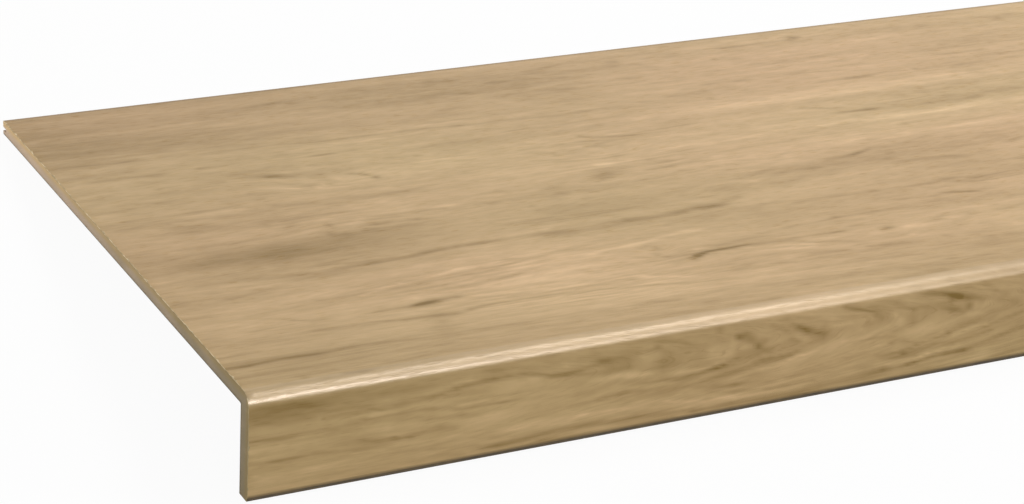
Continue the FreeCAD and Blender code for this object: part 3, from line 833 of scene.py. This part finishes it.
def filmTone(tree, x, line, side, drawn, lively):
    # how light the film is, from 0 to 1, with its fibres and pores
    fibres = streaks(tree, x, line, side, tone["fibres"], 9.1)
    total = calc(tree, "MULTIPLY", drawn, calc(tree, "MULTIPLY_ADD", fibres, tone["fibresInMarks"], 1.0))
    total = calc(tree, "ADD", total, tone["middle"])
    for seed, name in ((1.7, "clouds"), (5.3, "bands"), (7.9, "mottle")):
        total = calc(tree, "ADD", total, streaks(tree, x, line, side, tone[name], seed))
    total = calc(tree, "ADD", total, fibres)
    figured = streaks(tree, x, line, side, tone["figured"], 3.9)
    total = calc(tree, "MULTIPLY_ADD", figured, lively, total)

    # fine dark growth lines, in groups: where slow streaks pass through their middle
    length, width, weight, sharpness = tone["growthLines"]
    slow = noise(tree, (x, line, calc(tree, "ADD", side, 4.4)), (length, width, None))
    offLine = calc(tree, "PINGPONG", calc(tree, "MULTIPLY", slow, 3.0), 0.5)
    thin = remap(tree, offLine, 0.0, sharpness, 1.0, 0.0, smooth=True)
    length, width, low, high = tone["lineGroups"]
    group = noise(tree, (x, line, 8.8), (length, width, None))
    thin = calc(tree, "MULTIPLY", thin, remap(tree, group, low, high, 0.0, weight, smooth=True))
    total = calc(tree, "SUBTRACT", total, thin)

    # short open pores, darker and pressed into the film
    length, width, weight, share = tone["pores"]
    pore = noise(tree, (x, line, 2.2), (length, width, None))
    pore = remap(tree, pore, 0.5 + share, 0.5 + share + 0.1, smooth=True)
    return calc(tree, "MULTIPLY_ADD", pore, -weight, total), fibres, pore


def decorMaterial():
    material, tree, shader = newMaterial("oakDecor")
    x, line, lively = stored(tree, "grain")
    drawn, tint, across = stored(tree, "drawn")
    # below the heart line the streaks are others, so that they don't mirror those above it
    heart, blend = growth["heart"], tone["heartBlend"]
    side = remap(tree, across, heart - blend, heart + blend, -0.8, 0.0, smooth=True)
    total, fibres, pore = filmTone(tree, x, line, side, drawn, lively)
    light = mixColour(tree, remap(tree, tint, -1, 1), paint(tone["lightOlive"]), paint(tone["lightPink"]))
    colour = mixColour(tree, total, paint(tone["dark"]), light)
    # painted shade: the film darkens toward its back edge and toward the foot of the apron
    filmFoot = onApron(board["noseHeight"] - board["toeEasing"] - board["bareToe"])
    start, end, most = finish["backShade"]
    atBack = remap(tree, across, board["depth"] - start, board["depth"] - end, 0.0, most, smooth=True)
    start, end, most = finish["footShade"]
    atFoot = remap(tree, across, filmFoot + start, filmFoot + end, 0.0, most, smooth=True)
    shade = calc(tree, "MAXIMUM", atBack, atFoot)
    tree.links.new(mixColour(tree, shade, colour, paint(finish["edgeShadeColour"])), shader.inputs["Base Color"])

    backEnd, backFull, frontFull, frontEnd = finish["nosing"]
    nosing = calc(tree, "MULTIPLY", remap(tree, across, backEnd, backFull, smooth=True),
                  remap(tree, across, frontFull, frontEnd, 1.0, 0.0, smooth=True))
    tree.links.new(remap(tree, nosing, 0.0, 1.0, *finish["specular"]), shader.inputs["Specular IOR Level"])
    inPores, inFibres = finish["rougher"]
    rough = calc(tree, "MULTIPLY_ADD", pore, inPores, finish["roughness"])
    tree.links.new(calc(tree, "MULTIPLY_ADD", fibres, inFibres, rough), shader.inputs["Roughness"])
    length, width, weight = finish["ripples"]
    ripples = noise(tree, (x, line, 6.6), (length, width, None))
    height = calc(tree, "MULTIPLY_ADD", pore, -finish["poreDepth"], calc(tree, "MULTIPLY", ripples, weight))
    emboss(tree, shader, height, *finish["relief"])
    return material


core = {
    "front": (142, 128, 101),                 # colour of the sawn ends close to the nosing, and at the back
    "back": (204, 181, 158),
    "dust": (38.0, 9.0, None),                # size of the soft patches, and how much they change the colour
    "dustShare": 0.6,
    "filmSide": (1.06, 0.98, 0.68, 1.0),      # how the board's colour changes close under the film
    "filmSideReach": (1.6, 6.0),
    "denser": 0.22,                           # how much darker the board is close to its faces, and how deep
    "denseUnder": 2.2,
    "denseFilm": 1.2,
    # painted shade along the sawn ends' edge next to the underside: how much darker, and from and to how far
    # from it
    "bottomShadeDepth": 0.45,
    "bottomShadeReach": (0.3, 0.9),
    "fleckSize": (0.9, 0.5, 0.9),
    "flecks": 0.16,
    "roughness": 0.82,
    "relief": (0.5, 0.0002),
}


def coreMaterial():
    # sawn fibreboard: pressed fibres, darker and denser close to both faces, with a line of painted shade at
    # the very edge next to the underside
    c = core
    material, tree, shader = newMaterial("fibreCore")
    x, y, z = stored(tree, "level")
    fromUnder = calc(tree, "MAXIMUM", calc(tree, "ADD", z, board["thickness"]),
                     calc(tree, "SUBTRACT", board["apronThickness"], y))
    fromFilm = calc(tree, "MINIMUM", calc(tree, "MULTIPLY", z, -1.0), y)
    flecks = noise(tree, (y, z, x), c["fleckSize"], 3.0, 0.65)
    dust = noise(tree, (y, z, x), c["dust"], 2.0)
    nearBack = remap(tree, y, 0.0, board["depth"])
    dusty = calc(tree, "MULTIPLY_ADD", dust, c["dustShare"], -c["dustShare"] / 2)
    share = calc(tree, "ADD", dusty, nearBack, clamp=True)
    colour = mixColour(tree, share, paint(c["front"]), paint(c["back"]))
    near, far = c["filmSideReach"]
    underFilm = remap(tree, calc(tree, "MULTIPLY_ADD", dust, 1.6, fromFilm), near, far, 1.0, 0.0, smooth=True)
    colour = mixColour(tree, underFilm, colour, mixColour(tree, 1.0, colour, c["filmSide"], "MULTIPLY"))
    dense = calc(tree, "MAXIMUM", remap(tree, fromUnder, 0.0, c["denseUnder"], 1.0, 0.0, smooth=True),
                 remap(tree, fromFilm, 0.0, c["denseFilm"], 0.3, 0.0, smooth=True))
    # painted shade in a thin line next to the underside
    bottomShade = remap(tree, fromUnder, *c["bottomShadeReach"], 1.0, 0.0, smooth=True)
    shade = calc(tree, "MULTIPLY_ADD", dense, -c["denser"], 1.0)
    shade = calc(tree, "MULTIPLY", shade, calc(tree, "MULTIPLY_ADD", bottomShade, -c["bottomShadeDepth"], 1.0))
    speckled = calc(tree, "MULTIPLY_ADD", flecks, c["flecks"] * 2, 1.0 - c["flecks"])
    shade = calc(tree, "MULTIPLY", shade, speckled)
    shade = combine(tree, shade, shade, shade)
    tree.links.new(mixColour(tree, 1.0, colour, shade, "MULTIPLY"), shader.inputs["Base Color"])
    shader.inputs["Roughness"].default_value = c["roughness"]
    emboss(tree, shader, flecks, *c["relief"])
    return material


paper = {
    "dark": (139, 113, 82),
    "light": (176, 150, 116),
    "fibreSize": (6.0, 1.6, 1.6),
    "pressSize": (260.0, 34.0, 34.0),
    "fibres": 0.7,
    "press": 0.7,
    "roughness": (0.5, 0.62),
    "relief": (0.3, 0.00008),
}


def paperMaterial():
    # brown balancing paper under the board, with fine fibres and faint press streaks
    material, tree, shader = newMaterial("backingPaper")
    place = stored(tree, "level")
    fibres = noise(tree, place, paper["fibreSize"], 3.0, 0.6)
    press = noise(tree, place, paper["pressSize"], 2.0)
    share = calc(tree, "MULTIPLY_ADD", press, paper["press"], -0.2)
    share = calc(tree, "MULTIPLY_ADD", fibres, paper["fibres"], share, clamp=True)
    colour = mixColour(tree, share, paint(paper["dark"]), paint(paper["light"]))
    tree.links.new(colour, shader.inputs["Base Color"])
    tree.links.new(remap(tree, press, 0.3, 0.7, *paper["roughness"]), shader.inputs["Roughness"])
    emboss(tree, shader, fibres, *paper["relief"])
    return material


chips = {
    "dark": (160, 140, 102),
    "light": (226, 205, 166),
    "size": (0.8, 5.0, 5.0),
    "shows": (0.42, 0.6),
    "fewer": (-14.0, -5.0, 0.2, 1.0),         # between these heights there are fewer chips down the apron
    "roughness": 0.6,
    "relief": (0.4, 0.0002),
}


def chipMaterial():
    # the thin line where the saw has broken the film away and pale overlay and fibre show
    material, tree, shader = newMaterial("chippedFilm")
    x, y, z = stored(tree, "level")
    broken = noise(tree, (x, y, z), chips["size"], 3.0, 0.6)
    share = remap(tree, broken, *chips["shows"], smooth=True)
    share = calc(tree, "MULTIPLY", share, remap(tree, z, *chips["fewer"]))
    colour = mixColour(tree, share, paint(chips["dark"]), paint(chips["light"]))
    tree.links.new(colour, shader.inputs["Base Color"])
    shader.inputs["Roughness"].default_value = chips["roughness"]
    emboss(tree, shader, broken, *chips["relief"])
    return material


toe = {
    # bare core, darkened further by painted shade of the edge that faces the floor
    "dark": (50, 40, 24),
    "light": (98, 80, 50),
    "size": (14.0, 0.8, 0.8),
    "shows": (0.35, 0.7),
    "roughness": 0.6,
    "relief": (0.3, 0.0001),
}


def toeMaterial():
    # lower front edge, where film and resin are cut back, and darkened further with painted shade of the edge
    # that faces the floor
    material, tree, shader = newMaterial("cutToePaintedShade")
    rubbed = noise(tree, stored(tree, "level"), toe["size"], 3.0, 0.6)
    share = remap(tree, rubbed, *toe["shows"])
    colour = mixColour(tree, share, paint(toe["dark"]), paint(toe["light"]))
    tree.links.new(colour, shader.inputs["Base Color"])
    shader.inputs["Roughness"].default_value = toe["roughness"]
    emboss(tree, shader, rubbed, *toe["relief"])
    return material


boardPiece = buildBoard()
for made in (decorMaterial, coreMaterial, paperMaterial, chipMaterial, toeMaterial):
    boardPiece.data.materials.append(made())
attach(boardPiece, "root")
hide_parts("stair_tread")
print("board built")


# Floor, light and camera
stage = {
    "floorSize": 14.0,
    "floorColour": (240, 240, 239),
    "floorRoughness": 0.9,
    "whiteShare": 0.95,          # how much of the floor's light is plain white where the camera sees it
    "worldLight": 0.38,          # strength of the white surroundings as a light
}


def seenDirectly(tree):
    # 1 where the camera looks, also by way of a reflection or through glass
    rays = tree.nodes.new("ShaderNodeLightPath")
    seen = calc(tree, "MAXIMUM", rays.outputs["Is Camera Ray"], rays.outputs["Is Glossy Ray"])
    return calc(tree, "MAXIMUM", seen, rays.outputs["Is Transmission Ray"])


def buildStage():
    mesh = bpy.data.meshes.new("floor")
    bm = bmesh.new()
    bmesh.ops.create_grid(bm, x_segments=1, y_segments=1, size=stage["floorSize"] / 2)
    bm.to_mesh(mesh)
    bm.free()
    floor = bpy.data.objects.new("floor", mesh)
    scene.collection.objects.link(floor)
    material, tree, shader = newMaterial("floorPaper")
    shader.inputs["Base Color"].default_value = paint(stage["floorColour"])
    shader.inputs["Roughness"].default_value = stage["floorRoughness"]
    shader.inputs["Specular IOR Level"].default_value = 0.0
    white = tree.nodes.new("ShaderNodeEmission")
    blend = tree.nodes.new("ShaderNodeMixShader")
    tree.links.new(calc(tree, "MULTIPLY", seenDirectly(tree), stage["whiteShare"]), blend.inputs[0])
    tree.links.new(shader.outputs[0], blend.inputs[1])
    tree.links.new(white.outputs[0], blend.inputs[2])
    output = [node for node in tree.nodes if node.type == "OUTPUT_MATERIAL"][0]
    tree.links.new(blend.outputs[0], output.inputs["Surface"])
    mesh.materials.append(material)


def buildWorld():
    world = bpy.data.worlds.new("studio")
    scene.world = world
    world.use_nodes = True
    tree = world.node_tree
    background = tree.nodes["Background"]
    background.inputs["Color"].default_value = (1, 1, 1, 1)
    light = stage["worldLight"]
    strength = calc(tree, "MULTIPLY_ADD", seenDirectly(tree), 1 - light, light)
    tree.links.new(strength, background.inputs["Strength"])


def areaLamp(name, place, target, size, power, colour, gives):
    lamp = bpy.data.lights.new(name, "AREA")
    lamp.shape = "RECTANGLE"
    lamp.size, lamp.size_y = size
    lamp.energy = power
    lamp.color = colour
    lampObject = bpy.data.objects.new(name, lamp)
    lampObject.location = place
    lampObject.rotation_mode = "QUATERNION"
    lampObject.rotation_quaternion = (Vector(target) - Vector(place)).to_track_quat("-Z", "Y")
    lampObject.visible_camera = False
    lampObject.visible_diffuse = gives == "light"
    lampObject.visible_glossy = gives == "sheen"
    scene.collection.objects.link(lampObject)


# name, place, target, size, power, colour, and whether the soft lamp gives light or sheen
lamps = [
    ("overhead", (1.1, 0.30, 1.70), (0.1, 0.0, 0.0), (1.3, 0.9), 31.6, (1, 1, 1), "light"),
    ("frontFill", (-0.25, -1.30, 0.30), (-0.25, -0.19, 0.03), (0.5, 0.4), 2.5, (0.93, 1.0, 0.86), "light"),
    ("leftSide", (-1.25, 0.55, 0.14), (-0.5, 0.1, 0.02), (0.5, 0.2), 3, (1.0, 0.95, 0.88), "light"),
    ("topStrip", (0.64, -0.42, 2.1), (-0.25, -0.18, 0.05), (1.15, 0.8), 21, (1.0, 0.87, 0.74), "sheen"),
    ("nosingMiddle", (0.45, -1.30, 1.60), (-0.3, -0.18, 0.05), (1.4, 0.9), 5, (1.0, 0.87, 0.76), "sheen"),
    ("nosingLeft", (0.00, -1.84, 1.16), (-0.45, -0.18, 0.05), (0.60, 0.60), 27, (1.0, 0.88, 0.80), "sheen"),
    ("nosingRight", (0.80, -1.95, 0.88), (-0.25, -0.18, 0.05), (1.00, 1.1), 14, (1.0, 0.88, 0.76), "sheen"),
]

camera = {
    "place": (-0.92972, -1.15433, 0.75369),
    "forward": (0.43418, 0.75192, -0.49609),
    "roll": 7.378,
    "sensor": 36.0,
    "lens": 95.54,
    "clip": (0.05, 50.0),
}


def buildCamera():
    data = bpy.data.cameras.new("camera")
    data.sensor_width = camera["sensor"]
    data.lens = camera["lens"]
    data.clip_start, data.clip_end = camera["clip"]
    eye = bpy.data.objects.new("camera", data)
    eye.location = camera["place"]
    eye.rotation_mode = "QUATERNION"
    aim = Vector(camera["forward"]).to_track_quat("-Z", "Y")
    eye.rotation_quaternion = aim @ Quaternion((0, 0, 1), math.radians(camera["roll"]))
    scene.collection.objects.link(eye)
    scene.camera = eye


buildStage()
buildWorld()
for lamp in lamps:
    areaLamp(*lamp)
buildCamera()
scene.view_settings.view_transform = "Standard"
print("stage, lights and camera ready")
